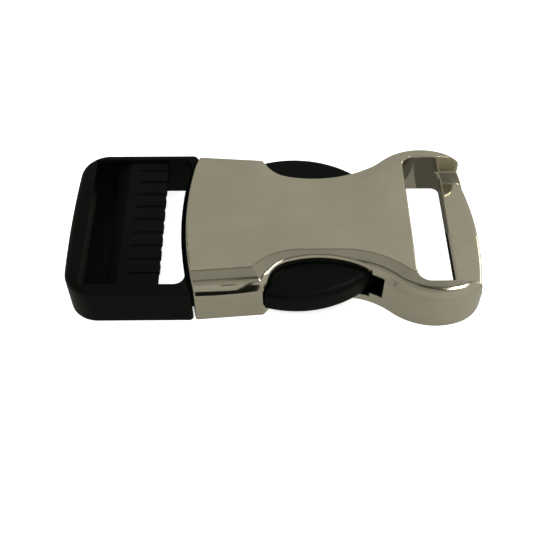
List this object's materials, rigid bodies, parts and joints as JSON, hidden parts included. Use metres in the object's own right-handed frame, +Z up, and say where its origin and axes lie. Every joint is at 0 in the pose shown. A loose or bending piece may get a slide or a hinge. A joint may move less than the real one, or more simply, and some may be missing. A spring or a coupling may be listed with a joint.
{
  "type": "side release buckle",
  "caption": "Fastened side release buckle for flat webbing: polished metal socket with a fixed webbing bar, black moulded plug with a ribbed adjuster frame and two sprung arms.",
  "frame": {"origin": "under the middle of the fastened buckle, on the surface that it lies on", "axes": "+X from the plug to the socket's webbing bar, +Y across the webbing, +Z up"},
  "size_m": [0.065, 0.0318, 0.008],
  "materials": {
    "polished_metal": "polished nickel plating on die-cast zinc, smooth all over",
    "black_plastic": "moulded black acetal with a low sheen and a fine mould grain"
  },
  "bodies": {
    "root": {"socket": "polished_metal", "plug": "black_plastic"}
  },
  "joints": []
}
